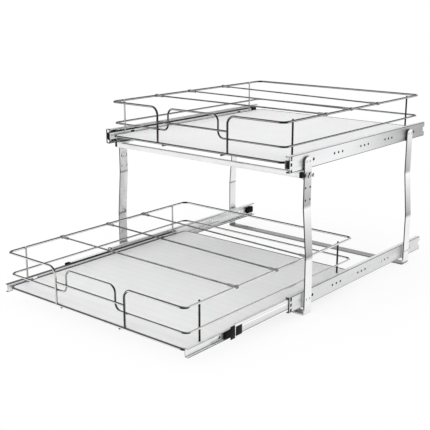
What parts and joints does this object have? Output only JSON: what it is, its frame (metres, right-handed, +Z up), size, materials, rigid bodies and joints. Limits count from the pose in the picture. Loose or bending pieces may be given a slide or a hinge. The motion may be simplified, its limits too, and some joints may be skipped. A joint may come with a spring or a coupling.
{
  "type": "pull-out cabinet basket",
  "caption": "Pull-out wire basket unit for a base cabinet, one basket above the other, on full-extension ball slides held by bent steel leg straps, with sliding dividers.",
  "frame": {"origin": "on the cabinet floor, in the middle of the four floor screw holes", "axes": "+X across the width to the right seen from the front, -Y towards the front where the baskets pull out, +Z up"},
  "size_m": [0.5694, 0.908, 0.4242],
  "materials": {
    "chromed_wire": "bright chrome plating",
    "chromed_strap": "bright chrome plating on strip steel",
    "zinc_steel": "bright zinc plating",
    "dark_steel": "dull, lightly greased",
    "black_plastic": "fine matte",
    "grey_plastic": "satin",
    "black_rubber": "matte",
    "frosted_plastic": "frosted"
  },
  "bodies": {
    "frame": {"front_leg_hoop": "chromed_strap", "rear_leg_hoop": "chromed_strap", "upper_crossbar": "chromed_strap", "crossbar_end_caps": "black_plastic", "rail_brackets": "zinc_steel", "frame_fasteners": "zinc_steel", "rail_spacers": "black_plastic", "rear_bumpers": "black_rubber", "lower_left_cabinet_member": "zinc_steel", "lower_right_cabinet_member": "zinc_steel", "upper_left_cabinet_member": "zinc_steel", "upper_right_cabinet_member": "zinc_steel"},
    "lower_basket": {"lower_left_drawer_member": "zinc_steel", "lower_right_drawer_member": "zinc_steel", "lower_release_levers": "black_plastic", "lower_rim_wire": "chromed_wire", "lower_middle_wire": "chromed_wire", "lower_bottom_frame": "chromed_wire", "lower_posts": "chromed_wire", "lower_floor_wires": "chromed_wire", "lower_liner": "frosted_plastic", "lower_basket_screws": "zinc_steel"},
    "lower_left_middle": {"lower_left_middle_member": "zinc_steel", "lower_left_middle_stop": "black_plastic"},
    "lower_left_outer_cage": {"lower_left_outer_ball_cage": "dark_steel"},
    "lower_left_inner_cage": {"lower_left_inner_ball_cage": "dark_steel"},
    "lower_right_middle": {"lower_right_middle_member": "zinc_steel", "lower_right_middle_stop": "black_plastic"},
    "lower_right_outer_cage": {"lower_right_outer_ball_cage": "dark_steel"},
    "lower_right_inner_cage": {"lower_right_inner_ball_cage": "dark_steel"},
    "lower_front_divider": {"lower_front_divider_rod": "chromed_wire", "lower_front_divider_clips": "grey_plastic"},
    "lower_centre_divider": {"lower_centre_divider_rod": "chromed_wire", "lower_centre_divider_clips": "grey_plastic"},
    "lower_rear_divider": {"lower_rear_divider_rod": "chromed_wire", "lower_rear_divider_clips": "grey_plastic"},
    "upper_basket": {"upper_left_drawer_member": "zinc_steel", "upper_right_drawer_member": "zinc_steel", "upper_release_levers": "black_plastic", "upper_rim_wire": "chromed_wire", "upper_middle_wire": "chromed_wire", "upper_bottom_frame": "chromed_wire", "upper_posts": "chromed_wire", "upper_floor_wires": "chromed_wire", "upper_liner": "frosted_plastic", "upper_basket_screws": "zinc_steel"},
    "upper_left_middle": {"upper_left_middle_member": "zinc_steel", "upper_left_middle_stop": "black_plastic"},
    "upper_left_outer_cage": {"upper_left_outer_ball_cage": "dark_steel"},
    "upper_left_inner_cage": {"upper_left_inner_ball_cage": "dark_steel"},
    "upper_right_middle": {"upper_right_middle_member": "zinc_steel", "upper_right_middle_stop": "black_plastic"},
    "upper_right_outer_cage": {"upper_right_outer_ball_cage": "dark_steel"},
    "upper_right_inner_cage": {"upper_right_inner_ball_cage": "dark_steel"},
    "upper_front_divider": {"upper_front_divider_rod": "chromed_wire", "upper_front_divider_clips": "grey_plastic"},
    "upper_centre_divider": {"upper_centre_divider_rod": "chromed_wire", "upper_centre_divider_clips": "grey_plastic"},
    "upper_rear_divider": {"upper_rear_divider_rod": "chromed_wire", "upper_rear_divider_clips": "grey_plastic"}
  },
  "joints": [
    {"name": "lower_basket_slide", "type": "slide", "parent": "frame", "child": "lower_basket", "axis": [0, -1, 0], "range_m": [-0.316, 0.244]},
    {"name": "lower_left_middle_slide", "type": "slide", "parent": "frame", "child": "lower_left_middle", "axis": [0, -1, 0], "range_m": [-0.159, 0.123]},
    {"name": "lower_left_outer_cage_slide", "type": "slide", "parent": "frame", "child": "lower_left_outer_cage", "axis": [0, -1, 0], "range_m": [-0.08, 0.062]},
    {"name": "lower_left_inner_cage_slide", "type": "slide", "parent": "frame", "child": "lower_left_inner_cage", "axis": [0, -1, 0], "range_m": [-0.238, 0.184]},
    {"name": "lower_right_middle_slide", "type": "slide", "parent": "frame", "child": "lower_right_middle", "axis": [0, -1, 0], "range_m": [-0.2096, 0.162]},
    {"name": "lower_right_outer_cage_slide", "type": "slide", "parent": "frame", "child": "lower_right_outer_cage", "axis": [0, -1, 0], "range_m": [-0.1053, 0.0815]},
    {"name": "lower_right_inner_cage_slide", "type": "slide", "parent": "frame", "child": "lower_right_inner_cage", "axis": [0, -1, 0], "range_m": [-0.2633, 0.2035]},
    {"name": "lower_front_divider_slide", "type": "slide", "parent": "lower_basket", "child": "lower_front_divider", "axis": [0, -1, 0], "range_m": [-0.06, 0.097]},
    {"name": "lower_centre_divider_slide", "type": "slide", "parent": "lower_basket", "child": "lower_centre_divider", "axis": [0, -1, 0], "range_m": [-0.052, 0.06]},
    {"name": "lower_rear_divider_slide", "type": "slide", "parent": "lower_basket", "child": "lower_rear_divider", "axis": [0, -1, 0], "range_m": [-0.098, 0.052]},
    {"name": "upper_basket_slide", "type": "slide", "parent": "frame", "child": "upper_basket", "axis": [0, -1, 0], "range_m": [0, 0.56]},
    {"name": "upper_left_middle_slide", "type": "slide", "parent": "frame", "child": "upper_left_middle", "axis": [0, -1, 0], "range_m": [0, 0.281]},
    {"name": "upper_left_outer_cage_slide", "type": "slide", "parent": "frame", "child": "upper_left_outer_cage", "axis": [0, -1, 0], "range_m": [0, 0.141]},
    {"name": "upper_left_inner_cage_slide", "type": "slide", "parent": "frame", "child": "upper_left_inner_cage", "axis": [0, -1, 0], "range_m": [0, 0.421]},
    {"name": "upper_right_middle_slide", "type": "slide", "parent": "frame", "child": "upper_right_middle", "axis": [0, -1, 0], "range_m": [0, 0.3706]},
    {"name": "upper_right_outer_cage_slide", "type": "slide", "parent": "frame", "child": "upper_right_outer_cage", "axis": [0, -1, 0], "range_m": [0, 0.1858]},
    {"name": "upper_right_inner_cage_slide", "type": "slide", "parent": "frame", "child": "upper_right_inner_cage", "axis": [0, -1, 0], "range_m": [0, 0.4658]},
    {"name": "upper_front_divider_slide", "type": "slide", "parent": "upper_basket", "child": "upper_front_divider", "axis": [0, -1, 0], "range_m": [-0.046, 0.101]},
    {"name": "upper_centre_divider_slide", "type": "slide", "parent": "upper_basket", "child": "upper_centre_divider", "axis": [0, -1, 0], "range_m": [-0.054, 0.046]},
    {"name": "upper_rear_divider_slide", "type": "slide", "parent": "upper_basket", "child": "upper_rear_divider", "axis": [0, -1, 0], "range_m": [-0.103, 0.054]}
  ],
  "couplings": [
    {"joint": "lower_left_middle_slide", "follows": "lower_basket_slide", "ratio": 0.5},
    {"joint": "lower_left_outer_cage_slide", "follows": "lower_basket_slide", "ratio": 0.25},
    {"joint": "lower_left_inner_cage_slide", "follows": "lower_basket_slide", "ratio": 0.75},
    {"joint": "lower_right_middle_slide", "follows": "lower_basket_slide", "ratio": 0.66},
    {"joint": "lower_right_outer_cage_slide", "follows": "lower_basket_slide", "ratio": 0.33},
    {"joint": "lower_right_inner_cage_slide", "follows": "lower_basket_slide", "ratio": 0.83},
    {"joint": "upper_left_middle_slide", "follows": "upper_basket_slide", "ratio": 0.5},
    {"joint": "upper_left_outer_cage_slide", "follows": "upper_basket_slide", "ratio": 0.25},
    {"joint": "upper_left_inner_cage_slide", "follows": "upper_basket_slide", "ratio": 0.75},
    {"joint": "upper_right_middle_slide", "follows": "upper_basket_slide", "ratio": 0.66},
    {"joint": "upper_right_outer_cage_slide", "follows": "upper_basket_slide", "ratio": 0.33},
    {"joint": "upper_right_inner_cage_slide", "follows": "upper_basket_slide", "ratio": 0.83}
  ]
}
